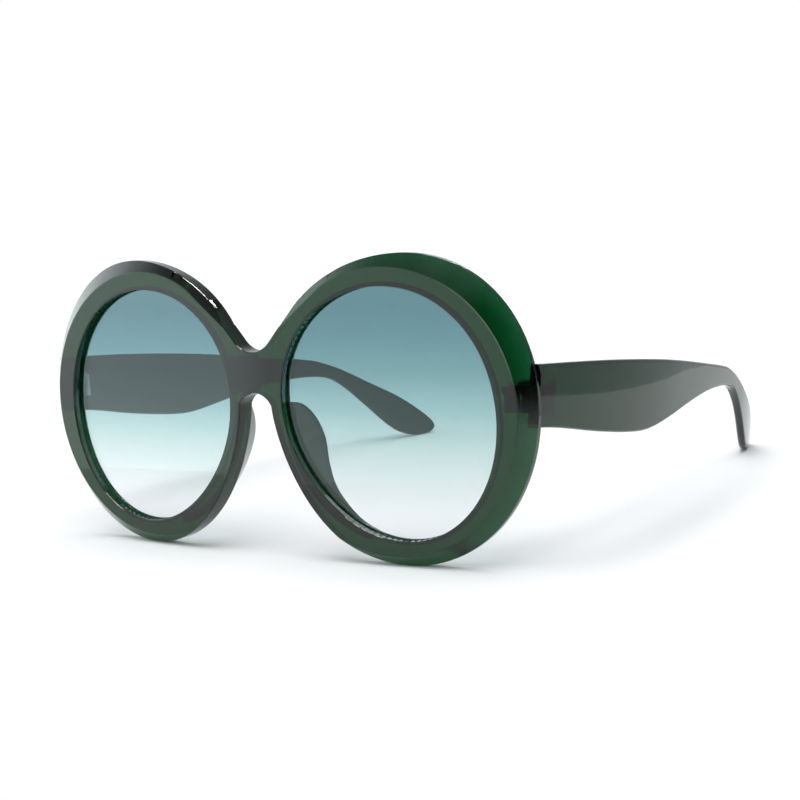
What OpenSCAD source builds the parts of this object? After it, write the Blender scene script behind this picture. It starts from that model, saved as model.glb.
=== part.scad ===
// Oversized round sunglasses: two bevelled rims joined by a low saddle bridge,
// wide temples that narrow to a neck and end in rounded tips, and metal hinges
// sunk into the plastic. Units are millimetres. The front faces -Y, +Z is up and
// the wearer's left is +X. The glasses stand on both rims and both temple tips.

/* [Lens opening] */
// Distance between the two lens centres
lens_spacing = 69.2; // [66:0.2:78]
// Mean radius of the lens opening
opening_r = 27; // [24:0.1:28]
// How far the opening bulges towards its upper inner and lower outer sides
opening_oval = 1; // [0:0.1:2]
// How far the opening is drawn to three soft corners
opening_tri = 0.5; // [0:0.1:1]

/* [Rim] */
// Mean width of the rim, from the lens opening to its outer edge
rim_w = 6.1; // [5.5:0.1:7.2]
// How far the rim's outer edge is shifted outwards and up from the opening
rim_shift = 2.7; // [1.5:0.1:3.2]
// How far the rim's outer edge is drawn to an oval
rim_oval = 0.7; // [0:0.1:1.2]
// How far the rim's outer edge is drawn to three soft corners
rim_tri = 0.7; // [0:0.1:1]
// Thickness of the rims, front to back
rim_t = 4.2; // [3.8:0.1:5.5]
// Mean width of the flat front face, from the lens opening to the bevel's ridge
face_w = 4.3; // [3.5:0.1:5]
// Angle of the outer bevel, measured from the front face
bevel_angle = 40; // [30:1:44]
// How far each rim is wrapped back round the face
wrap_angle = 3.8; // [0:0.1:6]
// How far the front leans back when the glasses stand on a table
lean_angle = 1.5; // [0:0.1:3]

/* [Bridge] */
// Height of the bridge at its middle
bridge_h = 9.2; // [7:0.1:10]
// Height of the bridge's middle above the lens centres
bridge_rise = 8.4; // [7.5:0.1:9]
// Radius of the saddle in the bridge's top
saddle_r = 6.5; // [5.5:0.1:7]
// Slope of the saddle's flanks up to the rims
saddle_slope = 48; // [44:1:52]
// Radius that rounds the bridge's front between the two wrapped rims
bridge_round_r = 65; // [40:1:90]
// Radius of the arch over the nose
arch_r = 5; // [4.2:0.1:5.5]

/* [Lenses] */
// Thickness of a lens
lens_t = 1.4; // [1.2:0.1:1.6]
// Depth of the lens front behind the rim's front face
lens_depth = 1.6; // [1.4:0.1:1.9]
// Depth of the groove that holds the lens
groove_depth = 0.9; // [0.6:0.1:1.2]
// Clearance of the lens in its groove
lens_clearance = 0.05; // [0.03:0.01:0.1]

/* [Nose pads] */
// Thickness of a pad where it is bonded to the rim
pad_base_t = 2; // [1.5:0.1:2.2]
// Thickness of a pad at its rear edge
pad_tip_t = 2; // [1:0.1:2.4]
// How far a pad stands behind the rim
pad_reach = 6.3; // [5:0.1:8]
// How far a pad leans outwards over its reach
pad_flare = 3.3; // [2:0.1:4]
// How far the pads' common axis lies below the lens centre
pad_drop = 1.2; // [0.6:0.1:1.6]
// How far a pad's seat lies outside the mean lens opening
pad_seat = 1.5; // [1.2:0.1:1.7]

/* [Temples] */
// Length of a temple along the wearer's head
temple_length = 141.5; // [132:0.5:150]
// Height of a temple's front end
temple_end_h = 13.3; // [11.5:0.1:14]
// Thickness of a temple
temple_t = 3.3; // [2.8:0.1:3.8]
// Angle at which a temple leaves the front outwards
temple_splay = 10.4; // [9:0.1:12]
// Radius of the bow in a temple's front half, in top view
bow_front_r = 248; // [230:1:270]
// Radius of the bow in a temple's back half, in top view
bow_back_r = 605; // [500:5:700]
// Radius in which a temple's tip is bent in behind the ear, in top view
bow_tip_r = 150; // [120:1:200]
// How much thinner a temple is at its tip than at its front end
tip_taper = 1.1; // [0:0.1:1.3]
// Angle at which a temple's blade leans outwards at its top
temple_lean = 8.5; // [6:0.1:9]
// How far a temple's outer face stands in from the rim's outer edge
temple_setback = 0.3; // [0.1:0.1:0.6]

/* [Hinges] */
// Height of a hinge
hinge_h = 5.2; // [4.6:0.1:6]
// Height of the hinges above the lens centres
hinge_rise = 3.1; // [0:0.1:5]
// Radius of a hinge knuckle
knuckle_r = 1.6; // [1.4:0.05:1.75]
// Radius of a hinge screw's shank
screw_r = 0.7; // [0.5:0.05:0.8]
// Radial clearance of the screw in the knuckles
screw_clearance = 0.05; // [0.02:0.01:0.09]
// Radius of a hinge screw's head
screw_head_r = 1.1; // [0.9:0.05:1.3]
// Distance of the screw's axis behind the rim
hinge_reach = 2; // [1.9:0.05:2.4]

/* [Hidden] */

frame_green = [0.16, 0.36, 0.26];
lens_teal = [0.45, 0.6, 0.62, 0.6];
metal_grey = [0.6, 0.61, 0.62];

// Overrun of every cut past the faces that it opens
cut = 1;
// Points on each lens opening and rim outline
outline_steps = 120;
// Directions of the opening's oval and of its first soft corner
oval_dir = -58;
tri_dir = 47;
// Directions of the rim's shift, oval and first soft corner
rim_shift_dir = 19;
rim_oval_dir = -78;
rim_tri_dir = 36;
// How far the rim's outer edge is drawn to four soft corners, and the first one
rim_corner = 0.2;
rim_corner_dir = -33;
half_spacing = lens_spacing / 2;
rim_r = opening_r + rim_w;
ridge_r = opening_r + face_w;

// Radius of the lens opening and of the rim's outer edge in one direction
function opening_at(a) = opening_r + opening_oval * cos(2 * (a - oval_dir))
    + opening_tri * cos(3 * (a - tri_dir));
function rim_at(a) = rim_r + rim_shift * cos(a - rim_shift_dir)
    + rim_oval * cos(2 * (a - rim_oval_dir)) + rim_tri * cos(3 * (a - rim_tri_dir))
    + rim_corner * cos(4 * (a - rim_corner_dir));

function steps(n) = [for (i = [0 : n - 1]) i * 360 / n];
function polar(r, a) = [half_spacing + r * cos(a), r * sin(a)];
function opening_outline(grow) = [for (a = steps(outline_steps)) polar(opening_at(a) + grow, a)];
function rim_outline() = [for (a = steps(outline_steps)) polar(rim_at(a), a)];

// Place of a point of the front: across, depth behind the front face, height
function wrapped(p) = [p[0] * cos(wrap_angle) - p[1] * sin(wrap_angle),
                       p[0] * sin(wrap_angle) + p[1] * cos(wrap_angle), p[2]];
function leaned(p) = [p[0], p[1] * cos(lean_angle) + p[2] * sin(lean_angle),
                      p[2] * cos(lean_angle) - p[1] * sin(lean_angle)];
function front_point(p) = leaned(wrapped(p));

// Height of the lens centres with the rims' lower back edges on the table
lens_z = -min([for (p = rim_outline()) front_point([p[0], rim_t, p[1]])[2]]);
front_y = min([for (p = rim_outline()) front_point([p[0], 0, p[1]])[1]]);

// Directions in which the bevel's ridge leaves its circle towards the bridge
bevel_end_dir = 115;
bevel_low_dir = 250;
// How far the ridge's straight ends lie inside its circle
bevel_dip = 0.05;

// Distance of the hinge from the rim's outer edge, and of the temple's end in
// front of the hinge's axis
hinge_inset = 6.1;
end_back = 1.1;
// Plastic left between the lens groove and the hinge's plate
hinge_wall = 0.2;
// Gap between the temple's end and the back of the rim
end_gap = 0.1;
// Height of the temple end's middle above the hinge's middle
end_rise = 0.47;
hinge_u = half_spacing + rim_at(0) - hinge_inset;
hinge_seat = front_point([hinge_u, rim_t, hinge_rise]);
hinge_x = hinge_seat[0];
hinge_y = hinge_seat[1] + hinge_reach;
hinge_z = lens_z + hinge_seat[2];

// Temple in side view: shares of its length and of its front end's top height
temple_top_shares = [[0, 1], [0.087, 0.972], [0.197, 0.931], [0.334, 0.87], [0.446, 0.81],
    [0.577, 0.732], [0.677, 0.67], [0.717, 0.632], [0.762, 0.574], [0.803, 0.508],
    [0.849, 0.426], [0.902, 0.33], [0.937, 0.252], [0.968, 0.169], [0.991, 0.092],
    [0.996, 0.039], [0.984, 0.008], [0.966, 0]];
temple_low_shares = [[0.94, 0.006], [0.91, 0.041], [0.886, 0.096], [0.863, 0.165],
    [0.835, 0.256], [0.802, 0.359], [0.769, 0.449], [0.737, 0.51], [0.695, 0.545],
    [0.641, 0.563], [0.573, 0.57], [0.486, 0.554], [0.4, 0.524], [0.318, 0.506],
    [0.248, 0.531], [0.156, 0.588], [0.061, 0.659]];
// Steps from one outline point to the next
curve_steps = 3;
temple_y = hinge_y - end_back;
temple_top_z = hinge_z + temple_end_h / 2 + end_rise;
temple_low_z = temple_top_z - temple_end_h;
temple_x = front_point([half_spacing + rim_at(0) - temple_setback, rim_t, hinge_rise])[0];

function share_points(list) =
    [for (s = list) [temple_y + s[0] * temple_length, s[1] * temple_top_z]];
function spline(p0, p1, p2, p3, t) = 0.5 * (2 * p1 + (p2 - p0) * t
    + (2 * p0 - 5 * p1 + 4 * p2 - p3) * t * t
    + (3 * p1 - p0 - 3 * p2 + p3) * t * t * t);
function smooth(p) = [for (i = [0 : len(p) - 2], j = [0 : curve_steps - 1])
    spline(p[max(i - 1, 0)], p[i], p[i + 1], p[min(i + 2, len(p) - 1)], j / curve_steps)];

// Overrun of the temple into the front, which is then cut off along the rim
end_overrun = 6;
temple_curve = concat(share_points(temple_top_shares), share_points(temple_low_shares),
    [[temple_y, temple_low_z]]);
temple_outline = concat([[temple_y - end_overrun, temple_top_z]], smooth(temple_curve),
    [[temple_y, temple_low_z], [temple_y - end_overrun, temple_low_z]]);
back_y = max([for (p = temple_outline) p[0]]);

// Everything is set so that the middle of its depth is over the origin
centre_y = (front_y + back_y) / 2;

// Bow of a temple's outer face in top view: three arcs that meet without a corner,
// and the shares of the length at which the second and the third begin
bow_share = 0.43;
tip_share = 0.8;
bow_start = [temple_x, temple_y];
bow_front_c = bow_start - bow_front_r * [cos(temple_splay), -sin(temple_splay)];
bow_y = temple_y + bow_share * temple_length;
bow_at = [bow_front_c[0] + sqrt(bow_front_r * bow_front_r - pow(bow_y - bow_front_c[1], 2)), bow_y];
bow_out = (bow_at - bow_front_c) / bow_front_r;
bow_back_c = bow_at - bow_back_r * bow_out;
bow_back_l = temple_length * (tip_share - bow_share);
bow_back_inner_r = 1 / (1 / (bow_back_r - temple_t) - 2 * tip_taper / (bow_back_l * bow_back_l));
bow_back_inner_c = bow_at - (bow_back_inner_r + temple_t) * bow_out;
bow_tip_y = temple_y + tip_share * temple_length;
bow_tip_at = [bow_back_c[0] + sqrt(bow_back_r * bow_back_r - pow(bow_tip_y - bow_back_c[1], 2)),
              bow_tip_y];
bow_tip_c = bow_tip_at - bow_tip_r * (bow_tip_at - bow_back_c) / bow_back_r;

// Nose pad in side view: shares of its reach behind the rim, and heights as
// shares of the lens opening's mean radius
pad_outline_shares = [[-0.2, 0.06], [0.3, 0.04], [0.7, -0.05], [0.93, -0.16], [1, -0.28],
    [0.9, -0.4], [0.74, -0.52], [0.55, -0.66], [0.4, -0.8], [0.2, -0.94], [0.03, -1.04],
    [-0.2, -1.08]];
// Where the pad's sector begins and how far it sweeps about the pad's axis
pad_start = 172;
pad_sweep = 84;
pad_seat_r = opening_r + pad_seat;

// Height of the middle knuckle and its gap to the two outer ones
middle_h = 1.9;
knuckle_gap = 0.05;
// Front hinge: its plate, which starts beside the lens groove and ends outwards of
// the axis, its two teeth, and how far the knuckles' foot stands in on the plate
plate_t = 0.9;
plate_out = 4.2;
plate_from = half_spacing + opening_at(0) + groove_depth + hinge_wall;
plate_w = hinge_u + plate_out - plate_from;
tooth_w = 1.7;
tooth_t = 1.5;
foot_inset = 0.15;
// Temple hinge: its leaf, how far that stands proud of the temple and in front
// of the axis, the tooth behind it, and the web to its knuckle
leaf_l = 6;
leaf_t = 1.1;
leaf_proud = 0.2;
leaf_back = 0.6;
leaf_tooth_l = 2.6;
leaf_tooth_t = 1.3;
leaf_tooth_at = 0.3;
web_w = 1.1;
// Clearance of the sunk metal in the plastic
fit_gap = 0.03;
// Screw head and the slot in it
screw_head_h = 0.6;
slot_w = 0.35;
slot_h = 0.3;

// Moves its children from the front's own place to the standing glasses
module stand() { translate([0, -centre_y, 0]) children(); }
module front_place() {
    translate([0, 0, lens_z]) rotate([-lean_angle, 0, 0]) rotate([0, 0, wrap_angle]) children();
}
// Plate from one depth to another behind the front face, from an outline
module plate(from, to) {
    rotate([90, 0, 0]) translate([0, 0, -to]) linear_extrude(to - from) children();
}
module left_side() { stand() children(); }
module right_side() { stand() mirror([1, 0, 0]) children(); }

// Half of the bridge: a saddle with straight flanks above and an arch below
module bridge_face() {
    lap = bridge_h / 20;
    top = bridge_rise + bridge_h / 2;
    low = bridge_rise - bridge_h / 2;
    flank_u = saddle_r * sin(saddle_slope);
    flank_v = top + saddle_r * (1 - cos(saddle_slope));
    side = half_spacing - rim_r * 4 / 5;
    difference() {
        polygon([[-lap, low - arch_r], [side, low - arch_r],
                 [side, flank_v + (side - flank_u) * tan(saddle_slope)],
                 [flank_u, flank_v], [-lap, flank_v]]);
        translate([0, top + saddle_r]) circle(r = saddle_r, $fn = 96);
        translate([0, low - arch_r]) circle(r = arch_r, $fn = 96);
    }
}

// Space that the outer bevel leaves: a cone about the lens centre, which runs out
// flat towards the bridge past two chords of its ridge
module bevel() {
    spread = rim_t / tan(bevel_angle);
    reach = 3 * rim_r;
    translate([half_spacing, 0, 0]) {
        rotate([-90, 0, 0]) cylinder(h = rim_t, r1 = ridge_r, r2 = ridge_r + spread, $fn = 180);
        intersection() {
            rotate([0, -bevel_end_dir, 0]) translate([ridge_r - bevel_dip, 0, 0])
                rotate([0, 0, 90 - bevel_angle]) mirror([1, 0, 0]) translate([0, -reach, 0])
                    cube([reach, 2 * reach, reach]);
            rotate([0, -bevel_low_dir, 0]) translate([ridge_r - bevel_dip, 0, -reach])
                rotate([0, 0, 90 - bevel_angle]) mirror([1, 0, 0]) translate([0, -reach, 0])
                    cube([reach, 2 * reach, reach]);
        }
    }
}

module rim() {
    difference() {
        intersection() {
            plate(0, rim_t) difference() {
                union() {
                    polygon(rim_outline());
                    bridge_face();
                }
                polygon(opening_outline(0));
            }
            bevel();
        }
        plate(lens_depth - lens_clearance, lens_depth + lens_t + lens_clearance)
            polygon(opening_outline(groove_depth));
        front_hinge_anchor(fit_gap);
    }
}

module front_frame() {
    blend_x = bridge_round_r * tan(wrap_angle);
    color(frame_green) stand() difference() {
        union() {
            front_place() rim();
            mirror([1, 0, 0]) front_place() rim();
        }
        translate([0, 0, lens_z]) rotate([-lean_angle, 0, 0]) difference() {
            translate([-blend_x, -cut, -rim_r]) cube([2 * blend_x, 2 * cut, 2 * rim_r]);
            translate([0, bridge_round_r / cos(wrap_angle), -2 * rim_r])
                cylinder(h = 4 * rim_r, r = bridge_round_r, $fn = 720);
        }
    }
}

module lens() {
    color(lens_teal) front_place() plate(lens_depth, lens_depth + lens_t)
        polygon(opening_outline(groove_depth - lens_clearance));
}
module lens_left() { left_side() lens(); }
module lens_right() { right_side() lens(); }

// Part of a flared shell about the lens axis, cut to the pad's side view
module nose_pad() {
    tip = pad_seat_r - pad_flare;
    side = [for (s = pad_outline_shares) [rim_t + s[0] * pad_reach, s[1] * opening_r]];
    color(frame_green) front_place() intersection() {
        translate([half_spacing, 0, -pad_drop]) rotate([90, 0, 0]) mirror([0, 0, 1])
            rotate([0, 0, pad_start]) rotate_extrude(angle = pad_sweep, $fn = 144)
                polygon([[pad_seat_r - pad_base_t, rim_t], [pad_seat_r, rim_t],
                         [tip, rim_t + pad_reach], [tip - pad_tip_t, rim_t + pad_reach]]);
        rotate([90, 0, 90]) linear_extrude(half_spacing) polygon(smooth(concat(side, [side[0]])));
    }
}
module nose_pad_left() { left_side() nose_pad(); }
module nose_pad_right() { right_side() nose_pad(); }

// Plate and two teeth sunk into the back of the rim
module front_hinge_anchor(gap) {
    low = hinge_rise - hinge_h / 2 - gap;
    high = hinge_h + 2 * gap;
    translate([plate_from - gap, rim_t - plate_t - gap, low])
        cube([plate_w + 2 * gap, plate_t + gap + (gap > 0 ? cut : 0), high]);
    for (from = [plate_from, plate_from + plate_w - tooth_w])
        translate([from - gap, rim_t - plate_t - tooth_t - gap, low])
            cube([tooth_w + 2 * gap, tooth_t + plate_t, high]);
}

module at_hinge() { translate([hinge_x, hinge_y, hinge_z]) children(); }

// Knuckle with the bore for the screw
module knuckle(from, to) {
    translate([0, 0, from]) cylinder(h = to - from, r = knuckle_r, $fn = 64);
}
module screw_bore() {
    translate([0, 0, -hinge_h / 2 - cut])
        cylinder(h = hinge_h + 2 * cut, r = screw_r + screw_clearance, $fn = 64);
}

module front_hinge() {
    half = hinge_h / 2;
    inner = middle_h / 2 + knuckle_gap;
    foot = plate_from + foot_inset - hinge_u;
    color(metal_grey) union() {
        front_place() front_hinge_anchor(0);
        at_hinge() difference() {
            union() for (z = [[-half, -inner], [inner, half]]) {
                knuckle(z[0], z[1]);
                translate([foot, -hinge_reach - plate_t / 2, z[0]])
                    cube([knuckle_r - foot, hinge_reach + plate_t / 2, z[1] - z[0]]);
            }
            screw_bore();
        }
    }
}
module front_hinge_left() { left_side() front_hinge(); }
module front_hinge_right() { right_side() front_hinge(); }

module hinge_screw() {
    half = hinge_h / 2;
    color(metal_grey) at_hinge() difference() {
        union() {
            translate([0, 0, -half]) cylinder(h = hinge_h, r = screw_r, $fn = 64);
            translate([0, 0, half]) cylinder(h = screw_head_h, r = screw_head_r, $fn = 64);
        }
        translate([-screw_head_r - cut, -slot_w / 2, half + screw_head_h - slot_h])
            cube([2 * (screw_head_r + cut), slot_w, slot_h + cut]);
    }
}
module hinge_screw_left() { left_side() hinge_screw(); }
module hinge_screw_right() { right_side() hinge_screw(); }

// Leaf and tooth sunk into the inner face of the temple
leaf_y = hinge_y - leaf_back;
leaf_turn = asin((bow_front_c[1] - leaf_y) / bow_front_r);
leaf_x = bow_front_c[0] + sqrt(pow(bow_front_r - temple_t, 2) - pow(leaf_y - bow_front_c[1], 2));
module temple_hinge_anchor(gap) {
    temple_leaned() translate([leaf_x, leaf_y, hinge_z - hinge_h / 2 - gap])
        rotate([0, 0, -leaf_turn]) {
            translate([-leaf_proud - gap, -gap, 0])
                cube([leaf_t + 2 * gap, leaf_l + 2 * gap, hinge_h + 2 * gap]);
            translate([0, leaf_tooth_at - gap, 0])
                cube([leaf_t + leaf_tooth_t + gap, leaf_tooth_l + 2 * gap, hinge_h + 2 * gap]);
        }
}

// Leans its children outwards about the middle of the hinge's leaf
module temple_leaned() {
    translate([leaf_x, 0, hinge_z]) rotate([0, temple_lean, 0])
        translate([-leaf_x, 0, -hinge_z]) children();
}

// Bowed blade between two upright cylinders, from one depth to another
module bow(outer_c, outer_r, inner_c, inner_r, from, to) {
    temple_leaned() intersection() {
        difference() {
            translate([outer_c[0], outer_c[1], -temple_top_z])
                cylinder(h = 3 * temple_top_z, r = outer_r, $fn = 720);
            translate([inner_c[0], inner_c[1], -2 * temple_top_z])
                cylinder(h = 5 * temple_top_z, r = inner_r, $fn = 720);
        }
        translate([0, from, -2 * temple_top_z]) cube([2 * temple_x, to - from, 5 * temple_top_z]);
    }
}

module temple() {
    color(frame_green) difference() {
        intersection() {
            rotate([90, 0, 90]) linear_extrude(2 * temple_x) polygon(temple_outline);
            union() {
                bow(bow_front_c, bow_front_r, bow_front_c, bow_front_r - temple_t,
                    temple_y - end_overrun, bow_y);
                bow(bow_back_c, bow_back_r, bow_back_inner_c, bow_back_inner_r,
                    bow_y, bow_tip_y);
                bow(bow_tip_c, bow_tip_r, bow_tip_c, bow_tip_r - temple_t + tip_taper,
                    bow_tip_y, back_y + end_overrun);
            }
        }
        front_place() translate([0, -temple_length / 2, -lens_z])
            cube([2 * temple_x, temple_length / 2 + rim_t + end_gap, 2 * temple_top_z]);
        temple_hinge_anchor(fit_gap);
    }
}
module temple_left() { left_side() temple(); }
module temple_right() { right_side() temple(); }

module temple_hinge() {
    color(metal_grey) union() {
        temple_hinge_anchor(0);
        at_hinge() difference() {
            union() {
                knuckle(-middle_h / 2, middle_h / 2);
                translate([0, -web_w / 2, -middle_h / 2])
                    cube([leaf_x - hinge_x + leaf_t / 2, web_w + knuckle_r / 2, middle_h]);
            }
            screw_bore();
        }
    }
}
module temple_hinge_left() { left_side() temple_hinge(); }
module temple_hinge_right() { right_side() temple_hinge(); }

front_frame();
lens_left();
lens_right();
nose_pad_left();
nose_pad_right();
front_hinge_left();
front_hinge_right();
hinge_screw_left();
hinge_screw_right();
temple_left();
temple_right();
temple_hinge_left();
temple_hinge_right();
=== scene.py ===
"""Oversized round sunglasses in polished see-through green acetate, with gradient
lenses and wide temples on small metal hinges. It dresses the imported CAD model,
in metres and in the model's own frame."""

import math

import bmesh
import bpy
from mathutils import Matrix, Vector


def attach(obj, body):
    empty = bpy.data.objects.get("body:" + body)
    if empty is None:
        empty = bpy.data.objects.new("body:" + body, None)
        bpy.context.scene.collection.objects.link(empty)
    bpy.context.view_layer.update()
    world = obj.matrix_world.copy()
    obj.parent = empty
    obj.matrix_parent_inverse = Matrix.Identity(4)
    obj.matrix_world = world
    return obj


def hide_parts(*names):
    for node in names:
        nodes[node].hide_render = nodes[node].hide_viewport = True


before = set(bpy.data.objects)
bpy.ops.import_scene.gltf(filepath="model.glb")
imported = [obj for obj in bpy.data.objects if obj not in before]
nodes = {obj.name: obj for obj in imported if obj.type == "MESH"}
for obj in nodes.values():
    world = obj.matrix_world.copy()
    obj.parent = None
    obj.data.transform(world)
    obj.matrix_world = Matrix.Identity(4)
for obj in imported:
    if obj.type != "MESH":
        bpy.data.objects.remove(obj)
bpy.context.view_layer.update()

# Acetate front
# The real front is milled from a sheet of cellulose acetate about 4 mm thick and
# tumbled until it shines, which rounds each edge a little. Both rims and the
# bridge are one piece, so it stays one mesh here.
MM = 0.001


def linear(code):
    """Linear colour of an sRGB hex code such as "8fa3b0"."""
    parts = [int(code[i : i + 2], 16) / 255 for i in (0, 2, 4)]
    return [
        *(c / 12.92 if c <= 0.04045 else ((c + 0.055) / 1.055) ** 2.4 for c in parts),
        1.0,
    ]


def add(tree, kind, settings=None, links=None):
    """A shader node with its sockets set by name or number, and its inputs linked."""
    node = tree.nodes.new(kind)
    for key, value in (settings or {}).items():
        if isinstance(key, int) or key in node.inputs:
            node.inputs[key].default_value = value
        else:
            setattr(node, key, value)
    for key, source in (links or {}).items():
        tree.links.new(source, node.inputs[key])
    return node


def new_material(name):
    """An empty material and its node tree."""
    material = bpy.data.materials.new(name)
    material.use_nodes = True
    material.node_tree.nodes.clear()
    return material, material.node_tree


acetate, tree = new_material("polished_green_cellulose_acetate")
# Polished dark green cellulose acetate. A tint at the surface and absorption inside
# turn the light from behind a deep green, deeper where the plastic is thicker, and
# the surface mirrors the room. Tumbling leaves soft waves about 9 mm long and a
# finer haze about 1.4 mm wide.
place = add(tree, "ShaderNodeTexCoord").outputs["Object"]
waves = add(
    tree,
    "ShaderNodeTexNoise",
    {"Scale": 1 / (9 * MM), "Detail": 2.0, "Roughness": 0.4},
    {"Vector": place},
)
haze = add(
    tree,
    "ShaderNodeTexNoise",
    {"Scale": 1 / (1.4 * MM), "Detail": 4.0, "Roughness": 0.6},
    {"Vector": place},
)
polish = add(
    tree,
    "ShaderNodeMapRange",
    {"From Min": 0.3, "From Max": 0.75, "To Min": 0.03, "To Max": 0.075},
    {"Value": haze.outputs["Fac"]},
)
bump = add(
    tree,
    "ShaderNodeBump",
    {"Strength": 0.12, "Distance": 0.05 * MM},
    {"Height": waves.outputs["Fac"]},
)
surface = add(
    tree,
    "ShaderNodeBsdfPrincipled",
    {"Base Color": linear("2b523b"), "Transmission Weight": 1.0, "IOR": 1.5},
    {"Roughness": polish.outputs["Result"], "Normal": bump.outputs["Normal"]},
)
inside = add(
    tree, "ShaderNodeVolumeAbsorption", {"Color": linear("50e7c9"), "Density": 1050}
)
add(
    tree,
    "ShaderNodeOutputMaterial",
    links={"Surface": surface.outputs["BSDF"], "Volume": inside.outputs["Volume"]},
)

# The front's sizes in the CAD. Each half is turned back by the wrap from the middle
# of the bridge, and the front leans back about the height of the lens centres. The
# flat face ends FACE_OUT millimetres from a lens centre, where the bevel starts.
LENS_HALF_SPACING = 34.6 * MM
LENS_HEIGHT = 33.674 * MM
FRONT_SETBACK = 75.273 * MM
FRONT_T = 4.2 * MM
WRAP, LEAN = math.radians(3.8), math.radians(1.5)
FACE_OUT = 31.3


def in_front(point):
    """A point of the front as its place across, its depth and its height."""
    y, z = point.y + FRONT_SETBACK, point.z - LENS_HEIGHT
    y, z = (
        y * math.cos(LEAN) - z * math.sin(LEAN),
        z * math.cos(LEAN) + y * math.sin(LEAN),
    )
    x = abs(point.x)
    return Vector(
        (
            x * math.cos(WRAP) + y * math.sin(WRAP),
            y * math.cos(WRAP) - x * math.sin(WRAP),
            z,
        )
    )


def around(point):
    """A point of the front as its direction about the lens centre in degrees, its
    distance from it and its depth, both in millimetres."""
    across, depth, height = in_front(point)
    across -= LENS_HALF_SPACING
    turn = math.degrees(math.atan2(height, across))
    return turn, math.hypot(across, height) / MM, depth / MM


def bevel_width(turn):
    """Width in millimetres of the outer bevel in one direction from the lens centre,
    seen from the front. It is below nothing where the face reaches the outline. Each
    wave of the outline has its size, how many go round, and where one is highest."""
    waves = ((2.7, 1, 19), (0.7, 2, -78), (0.7, 3, 36), (0.2, 4, -33))
    outline = 33.1 + sum(
        size * math.cos(count * math.radians(turn - at)) for size, count, at in waves
    )
    return outline - FACE_OUT


def run_out(bm, side):
    """Mends both ends of one rim's outer bevel. Beside the bridge the CAD cuts it in
    under the face and leaves a thin lip there, so the lip goes and a new slope runs
    out into the rim's outline. The other end loses a step of 0.07 mm."""
    # Directions in degrees: where the cut and the lip begin and end, from where the
    # lip's points are kept, where the new slope ends, and between what the step is
    cut_from, cut_to = 118.2, 138.3
    lip_from, kept_from, lip_to, slope_end = 131, 139, 144.3, 145
    step_from, step_to = -117.3, -115.6
    # Millimetres: a point less deep lies in the face, the cut's depth, how far out
    # the lip and the cut's lower edge are, and the slope's drop in each degree
    skin, cut_depth, lip_out, low_out, drop = 0.02, 1.4, 32.2, 32.5, 0.15
    close = 0.1  # how near to FACE_OUT a point of the face's edge lies
    spots = {v: around(v.co) for v in bm.verts if v.co.x * side > 0}

    def turn_of(v):
        return spots[v][0]

    edge_points = [
        v
        for v, (_, out, depth) in spots.items()
        if depth < skin and out < FACE_OUT + close
    ]
    start = min(
        edge_points,
        key=lambda v: abs(turn_of(v) - cut_from) + abs(spots[v][1] - FACE_OUT),
    )
    end = min(spots, key=lambda v: abs(turn_of(v) - slope_end) + spots[v][2] * 9)
    lip = [
        v
        for v, (turn, out, depth) in spots.items()
        if lip_from < turn < lip_to and out > lip_out and depth < skin
    ]
    low = [
        v
        for v, (turn, out, depth) in spots.items()
        if cut_from + 0.2 < turn < cut_to and out > low_out and 1.0 < depth < cut_depth
    ]
    lip.sort(key=turn_of)
    low.sort(key=turn_of)

    # The face again without its lip, in place of the old one and of the cut's faces
    face = next(f for f in start.link_faces if end in f.verts and lip[0] in f.verts)
    bm.faces.new([v for v in face.verts if v not in lip])
    cut = [
        f
        for f in bm.faces
        if all(
            v in spots
            and cut_from - 0.1 < turn_of(v) < cut_to
            and spots[v][1] > FACE_OUT - close / 2
            and spots[v][2] < cut_depth
            for v in f.verts
        )
    ]
    bmesh.ops.delete(bm, geom=[face, *cut], context="FACES_ONLY")

    # The new slope, which takes the last points of the lip down with it, and the step
    kept = [v for v in lip if turn_of(v) > kept_from]
    for v in kept:
        v.co.y += (slope_end - turn_of(v)) * drop * MM
    corner = min(lip, key=lambda v: abs(turn_of(v) - 138))
    step = [
        v
        for v, (turn, out, depth) in spots.items()
        if step_from < turn < step_to and out > FACE_OUT and depth < 0.2
    ]
    bottom = min(step, key=turn_of)
    closed = {v: bottom for v in step if v is not bottom}
    bmesh.ops.weld_verts(bm, targetmap={corner: low[-1], **closed})
    bm.faces.new([start, *low, *kept, end])


def front_radius(point):
    """Radius in metres of the rounding at a place on an edge of the front. The groove
    and the hinge's pocket stay sharp. Along the face's edge the radius follows the
    width of the bevel, and at both ends of the bevel it grows from almost nothing."""
    turn, out, depth = around(point)
    across, _, height = in_front(point)
    opening, groove, pocket = 28.6, 30, 33.6  # mm out from the lens centre
    pocket_height, pocket_half = 3.1 * MM, 3 * MM
    skin = 0.4  # mm: the groove's edges lie deeper than this under both faces
    upper_end, upper_reach = 141, 25  # where the bevel runs out, and within how
    lower_end, lower_reach = -116, 11  # many degrees the radius has grown
    in_face = depth < 0.3
    in_slope = 117 < turn < 139 and 0.02 < depth < 1.2
    if out < groove and skin < depth < FRONT_T / MM - skin:
        return 0
    if out < opening:
        return 0.22 * MM
    if across > LENS_HALF_SPACING and depth > 1 and out < pocket:
        if abs(height - pocket_height) < pocket_half:
            return 0
    if abs(turn - lower_end) < lower_reach:
        grown = abs(turn - lower_end) / lower_reach
        return (0.08 + (0.22 if in_face else 0.05) * grown) * MM
    if in_slope:
        return 0
    if turn > 112 and depth < 1.5:
        grown = min(abs(turn - upper_end) / upper_reach, 1)
        return (0.1 + 0.2 * grown) * MM
    if in_face:
        return min(0.3, 0.3 * abs(bevel_width(turn))) * MM
    return 0.13 * MM


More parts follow.
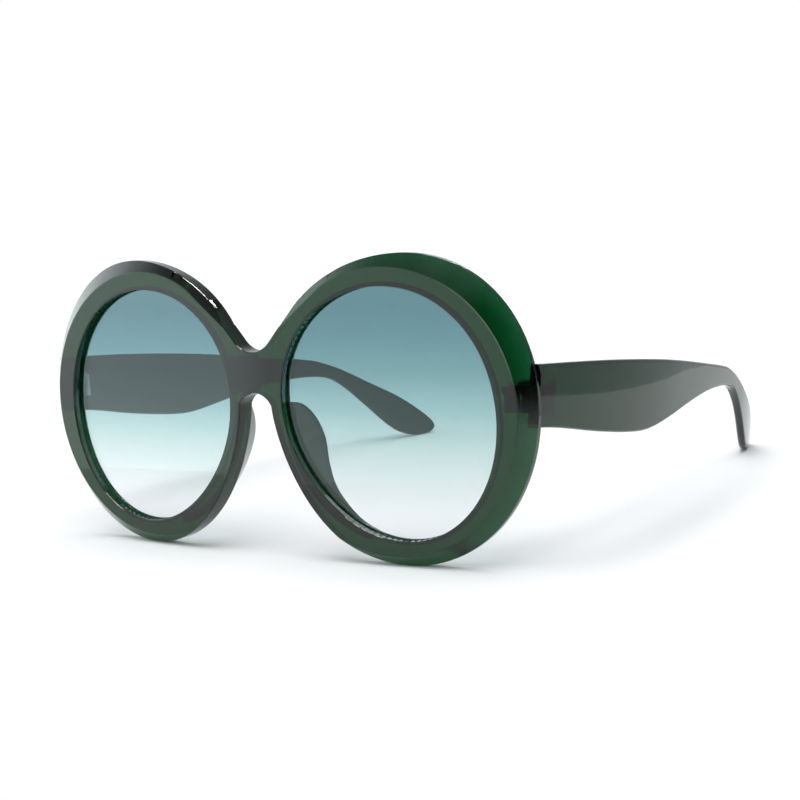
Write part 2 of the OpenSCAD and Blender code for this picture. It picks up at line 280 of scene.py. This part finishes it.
def welded(node):
    """A bmesh of a CAD node's mesh with its loose triangles merged into whole faces."""
    same_place, same_plane = 0.002 * MM, math.radians(0.4)
    bm = bmesh.new()
    bm.from_mesh(nodes[node].data)
    bmesh.ops.remove_doubles(bm, verts=bm.verts, dist=same_place)
    bmesh.ops.dissolve_limit(bm, angle_limit=same_plane, verts=bm.verts, edges=bm.edges)
    bmesh.ops.dissolve_degenerate(bm, dist=same_place, edges=bm.edges)
    return bm


def finished(bm, node):
    """The object of a finished piece that stands for a CAD node."""
    for face in bm.faces:
        face.smooth = True
    mesh = bpy.data.meshes.new(node + "_finished")
    bm.to_mesh(mesh)
    bm.free()
    piece = bpy.data.objects.new(node + "_finished", mesh)
    bpy.context.scene.collection.objects.link(piece)
    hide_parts(node)
    return piece


def rounded(bm, node, radius_at, segments):
    """The finished piece with its sharp edges rounded. radius_at gives an edge's
    radius in metres from the place of its middle."""
    sharp = math.radians(24)  # the least turn between two faces that is an edge
    weight = bm.edges.layers.float.new("bevel_weight_edge")
    largest = 0
    for edge in bm.edges:
        if len(edge.link_faces) == 2 and edge.calc_face_angle(0) > sharp:
            edge[weight] = radius_at((edge.verts[0].co + edge.verts[1].co) / 2)
            largest = max(largest, edge[weight])
    for edge in bm.edges:
        edge[weight] /= largest
    piece = finished(bm, node)
    bevel = piece.modifiers.new("rounding", "BEVEL")
    bevel.limit_method = "WEIGHT"
    bevel.width = largest
    bevel.segments = segments
    bevel.use_clamp_overlap = False
    bevel.miter_outer = "MITER_ARC"
    even = piece.modifiers.new("even shading", "WEIGHTED_NORMAL")
    even.keep_sharp = True
    even.weight = 60
    return piece


bm = welded("front_frame")
shortest = 0.06 * MM
short = [edge for edge in bm.edges if edge.calc_length() < shortest]
bmesh.ops.collapse(bm, edges=short, uvs=False)
for side in (1, -1):
    run_out(bm, side)
loose = [edge for edge in bm.edges if not edge.link_faces]
bmesh.ops.delete(bm, geom=loose, context="EDGES")
alone = [vert for vert in bm.verts if not vert.link_faces]
bmesh.ops.delete(bm, geom=alone, context="VERTS")
bmesh.ops.recalc_face_normals(bm, faces=bm.faces)

# Small triangles along the outline would break the highlights into spots, so each
# joins the largest face that it lies flat with.
small, level_with = 0.6 * MM * MM, math.radians(2)
joined = set()
for face in bm.faces:
    if len(face.verts) == 3 and face.calc_area() < small:
        flat = [
            edge
            for edge in face.edges
            if len(edge.link_faces) == 2 and edge.calc_face_angle(0) < level_with
        ]
        if flat:
            joined.add(
                max(flat, key=lambda e: max(f.calc_area() for f in e.link_faces))
            )
in_order = [edge for edge in bm.edges if edge in joined]
bmesh.ops.dissolve_edges(bm, edges=in_order, use_verts=False)
front = rounded(bm, "front_frame", front_radius, 3)
front.data.materials.append(acetate)
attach(front, "front")

# Nose pads
# Two short curved wings of acetate, cut apart from the front and bonded to the backs
# of the rims. They are tumbled until they are round all over, because they rest on
# skin.
shaded_acetate_copy = acetate.copy()
shaded_acetate_copy.name = "shaded_green_cellulose_acetate"
# A darker copy of the same polished acetate, almost opaque. Its darker tint paints in
# shade: it makes the pads and temples look darker and less green than the front, so
# they show mostly the room in their surface.
for node in shaded_acetate_copy.node_tree.nodes:
    if node.type == "BSDF_PRINCIPLED":
        node.inputs["Base Color"].default_value = linear("1f3a2f")
for side in ("left", "right"):
    pad = finished(welded("nose_pad_" + side), "nose_pad_" + side)
    fine = pad.modifiers.new("even grid", "REMESH")
    fine.mode = "VOXEL"
    fine.voxel_size = 0.13 * MM
    fine.use_smooth_shade = True
    tumbled = pad.modifiers.new("tumbled", "SMOOTH")
    tumbled.factor = 0.5
    tumbled.iterations = 14
    pad.data.materials.append(shaded_acetate_copy)
    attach(pad, "front")

# Temples
# Each temple is cut from acetate sheet, bowed to the head and tumbled with the
# front, which rounds its long edges. Its front end is a flat butt that closes
# against the rim.

# The hinge's seat in a temple: its middle height, half its height and its rear end
HINGE_HEIGHT, HINGE_HALF, HINGE_END = 36.55 * MM, 3 * MM, -58 * MM


def temple_radius(point):
    """Radius in metres of the rounding at a place on an edge of a temple. The seat of
    the hinge stays sharp, and the long edges grow rounder away from the butt."""
    butt = -65.9 * MM
    if point.y < butt:
        return 0.3 * MM
    if abs(point.z - HINGE_HEIGHT) < HINGE_HALF and point.y < HINGE_END:
        return 0
    behind = max(point.y / MM + 65.2, 0)
    return min(0.75, 0.3 + 0.12 * behind) * MM


def crowded(edge):
    """Whether an edge is too short to be rounded. It may be shorter along the temple
    than at its front end, and the seat of the hinge keeps all of its edges."""
    spot = edge.verts[0].co
    shortest = 0.5 * MM if spot.y > -65.8 * MM else 0.95 * MM
    return edge.calc_length() < shortest and abs(spot.z - HINGE_HEIGHT) > HINGE_HALF


for side in ("left", "right"):
    bm = welded("temple_" + side)
    short = [edge for edge in bm.edges if crowded(edge)]
    bmesh.ops.collapse(bm, edges=short, uvs=False)
    temple = rounded(bm, "temple_" + side, temple_radius, 4)
    # The darker copy paints shade into the temples as well.
    temple.data.materials.append(shaded_acetate_copy)
    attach(temple, side + "_arm")

# Lenses
# Flat-pressed lenses of tinted acrylic 1.4 mm thick, dipped so that the dye is
# strongest at the top and runs out near the bottom. They are snapped into the
# grooves of the rims.
DYE_LOW, DYE_HIGH = 6 * MM, 56 * MM  # heights of the palest and the deepest dye
tinted, tree = new_material("dip_dyed_acrylic_lens")
# Clear polished acrylic. The blue green dye fades from top to bottom, and lamps
# shine through it, so its shadow is pale.
place = add(tree, "ShaderNodeTexCoord").outputs["Object"]
height = add(tree, "ShaderNodeSeparateXYZ", links={"Vector": place}).outputs["Z"]
level = add(
    tree,
    "ShaderNodeMapRange",
    {"From Min": DYE_LOW, "From Max": DYE_HIGH},
    {"Value": height},
)
dye = add(tree, "ShaderNodeValToRGB", links={"Fac": level.outputs["Result"]})
stops = dye.color_ramp.elements
stops[0].color, stops[-1].color = linear("f4f6f8"), linear("567e85")
for at, code in (
    (0.12, "eaeef0"),
    (0.24, "d9e4e3"),
    (0.4, "b9d2d0"),
    (0.56, "91b6b7"),
    (0.72, "70999c"),
    (0.86, "5f8991"),
):
    stops.new(at).color = linear(code)
surface = add(
    tree,
    "ShaderNodeBsdfPrincipled",
    {
        "Transmission Weight": 1.0,
        "IOR": 1.49,
        "Specular IOR Level": 0.12,
        "Roughness": 0.0,
    },
    {"Base Color": dye.outputs["Color"]},
)
passed = add(tree, "ShaderNodeBsdfTransparent", links={"Color": dye.outputs["Color"]})
rays = add(tree, "ShaderNodeLightPath")
lamp_rays = add(
    tree,
    "ShaderNodeMath",
    {"operation": "MAXIMUM"},
    {0: rays.outputs["Is Shadow Ray"], 1: rays.outputs["Is Diffuse Ray"]},
)
glass = add(
    tree,
    "ShaderNodeMixShader",
    links={
        0: lamp_rays.outputs["Value"],
        1: surface.outputs["BSDF"],
        2: passed.outputs["BSDF"],
    },
)
add(tree, "ShaderNodeOutputMaterial", links={"Surface": glass.outputs["Shader"]})


def dress(node, material):
    """Gives a CAD node that keeps its own shape its real finish."""
    slots = nodes[node].data.materials
    slots.clear()
    slots.append(material)


for side in ("left", "right"):
    dress("lens_" + side, tinted)

# Hinges
# Five-barrel hinges are stamped and turned from nickel silver. Here each has two
# outer knuckles on the front and one on the temple, a slotted screw, and teeth
# that are sunk hot into the acetate.
metal, tree = new_material("brushed_nickel_silver")
# Nickel silver with the fine lengthwise lines of stamping, a little yellow and
# softly bright. The lines are 0.8 mm long and a twelfth of that apart.
place = add(tree, "ShaderNodeTexCoord").outputs["Object"]
stretch = add(
    tree, "ShaderNodeMapping", {"Scale": (1.0, 1.0, 12.0)}, {"Vector": place}
)
lines = add(
    tree,
    "ShaderNodeTexNoise",
    {"Scale": 1 / (0.8 * MM), "Detail": 3.0},
    {"Vector": stretch.outputs["Vector"]},
)
gloss = add(
    tree,
    "ShaderNodeMapRange",
    {"From Min": 0.3, "From Max": 0.7, "To Min": 0.22, "To Max": 0.4},
    {"Value": lines.outputs["Fac"]},
)
surface = add(
    tree,
    "ShaderNodeBsdfPrincipled",
    {"Base Color": linear("b9b6ae"), "Metallic": 1.0},
    {"Roughness": gloss.outputs["Result"]},
)
add(tree, "ShaderNodeOutputMaterial", links={"Surface": surface.outputs["BSDF"]})
for side in ("left", "right"):
    for part in ("front_hinge_", "hinge_screw_", "temple_hinge_"):
        dress(part + side, metal)

# Studio
# A white sheet under the glasses, which reaches just past the camera's view, a soft
# room with a bright wall at the left and a dark corner at the right, as the
# photograph's reflections show them, two lamps overhead, and the camera.
bm = bmesh.new()
corners = ((0.233, -0.239, 0), (-0.9, 3, 0), (-3, 3, 0), (-3, 0.55, 0))
bm.faces.new([bm.verts.new(corner) for corner in corners])
floor_mesh = bpy.data.meshes.new("floor")
bm.to_mesh(floor_mesh)
bm.free()
floor = bpy.data.objects.new("floor", floor_mesh)
bpy.context.scene.collection.objects.link(floor)
paper, tree = new_material("matt_white_paper")
# Smooth uncoated paper, white and without shine, so only the soft shadows show on it.
surface = add(
    tree,
    "ShaderNodeBsdfPrincipled",
    {"Base Color": linear("f4f4f4"), "Roughness": 0.9, "Specular IOR Level": 0.1},
)
add(tree, "ShaderNodeOutputMaterial", links={"Surface": surface.outputs["BSDF"]})
floor.data.materials.append(paper)

world = bpy.data.worlds.new("studio")
bpy.context.scene.world = world
world.use_nodes = True
tree = world.node_tree
tree.nodes.clear()
direction = add(tree, "ShaderNodeTexCoord").outputs["Generated"]
height = add(tree, "ShaderNodeSeparateXYZ", links={"Vector": direction}).outputs["Z"]


def patch(round_to, up, inner, outer, value):
    """A soft round patch of the room. round_to is its angle from the front towards the
    right and up its height, all in degrees; it fades from value at inner to nothing
    at outer."""
    flat = math.cos(math.radians(up))
    centre = (
        math.sin(math.radians(round_to)) * flat,
        -math.cos(math.radians(round_to)) * flat,
        math.sin(math.radians(up)),
    )
    towards = add(
        tree,
        "ShaderNodeVectorMath",
        {"operation": "DOT_PRODUCT", 1: centre},
        {0: direction},
    )
    fade = add(
        tree,
        "ShaderNodeMapRange",
        {
            "interpolation_type": "SMOOTHSTEP",
            "From Min": math.cos(math.radians(outer)),
            "From Max": math.cos(math.radians(inner)),
            "To Max": value,
        },
        {"Value": towards.outputs["Value"]},
    )
    return fade.outputs["Result"]


# Light walls go over into a darker ceiling
level = add(
    tree, "ShaderNodeMapRange", {"From Min": 0.45, "From Max": 0.8}, {"Value": height}
)
room = add(tree, "ShaderNodeValToRGB", links={"Fac": level.outputs["Result"]})
room.color_ramp.interpolation = "EASE"
room.color_ramp.elements[0].color = (0.9, 0.95, 0.99, 1)
room.color_ramp.elements[-1].color = (0.31, 0.34, 0.37, 1)
look = room.outputs["Color"]

# In turn, the dimmer side that the left temple mirrors, the bright wall at the
# left, the dark corner in the bevels at the right, and the bright panel that draws
# a line along the ridges of the rims
black, white = (0.0, 0.0, 0.0, 1.0), (1.0, 1.0, 1.0, 1.0)
for kind, spot, colour in (
    ("MIX", (115, 25, 35, 80, 0.4), black),
    ("ADD", (-75, -2, 20, 62, 0.9), (0.9, 1.0, 1.03, 1.0)),
    ("MIX", (62, 28, 22, 40, 0.93), black),
    ("ADD", (8, 22, 14, 24, 1.0), (1.7, 1.75, 1.7, 1.0)),
):
    look = add(
        tree,
        "ShaderNodeMix",
        {"data_type": "RGBA", "blend_type": kind, 7: colour},
        {0: patch(*spot), 6: look},
    ).outputs[2]

# The camera itself sees plain white round the sheet. The room lights matt surfaces
# less than it shows in shiny ones, which keeps the shadows on the paper.
matt_loss = 0.22
rays = add(tree, "ShaderNodeLightPath")
seen = add(
    tree,
    "ShaderNodeMix",
    {"data_type": "RGBA", 7: white},
    {0: rays.outputs["Is Camera Ray"], 6: look},
)
share = add(
    tree,
    "ShaderNodeMath",
    {"operation": "MULTIPLY_ADD", 1: -matt_loss, 2: 1.0},
    {0: rays.outputs["Is Diffuse Ray"]},
)
soft = add(
    tree,
    "ShaderNodeBackground",
    links={"Color": seen.outputs[2], "Strength": share.outputs["Value"]},
)
add(tree, "ShaderNodeOutputWorld", links={"Surface": soft.outputs["Background"]})


def lamp(name, place, power, angle):
    """A lamp far off in the direction of place, angle wide in radians. It shines on
    the middle of the glasses and isn't seen by the camera."""
    data = bpy.data.lights.new(name, "SUN")
    data.energy, data.angle = power, angle
    lamp_object = bpy.data.objects.new(name, data)
    towards = Vector((0, 0, 30 * MM)) - Vector(place)
    turned = towards.to_track_quat("-Z", "Y").to_matrix().to_4x4()
    lamp_object.matrix_world = Matrix.Translation(place) @ turned
    lamp_object.visible_camera = False
    lamp_object.visible_transmission = False
    bpy.context.scene.collection.objects.link(lamp_object)
    return lamp_object


# The wide lamp lights the paper and casts the soft shadows. The narrow one is seen
# only in shiny surfaces, where it is the white highlight along the upper edges.
overhead = lamp("overhead_softbox", (0.1, -0.2, 2.0), 2.55, 1.05)
overhead.visible_glossy = False
glint = lamp("overhead_lamp", (0.0, -0.2, 2.0), 7.0, 0.5)
glint.visible_diffuse = False

# The camera stands where the photograph's was, worked out from the two rims and
# temples. right, up and ahead are the picture's directions in the model's frame.
camera_data = bpy.data.cameras.new("camera")
camera_data.sensor_width = 36
camera_data.lens = 74.552
camera_data.shift_x = -0.01862
camera_data.shift_y = 0.00238
camera_data.clip_start, camera_data.clip_end = 0.01, 20
camera = bpy.data.objects.new("camera", camera_data)
right = Vector((0.82851662, 0.55553067, -0.07032697))
up = Vector((-0.02540051, 0.16274728, 0.98634078))
ahead = Vector((-0.55938808, 0.81541339, -0.14894959))
facing = Matrix((right, up, -ahead)).transposed().to_4x4()
camera.matrix_world = (
    Matrix.Translation((237.15 * MM, -357.34 * MM, 88.22 * MM)) @ facing
)
bpy.context.scene.collection.objects.link(camera)
bpy.context.scene.camera = camera
bpy.context.scene.view_settings.view_transform = "Standard"
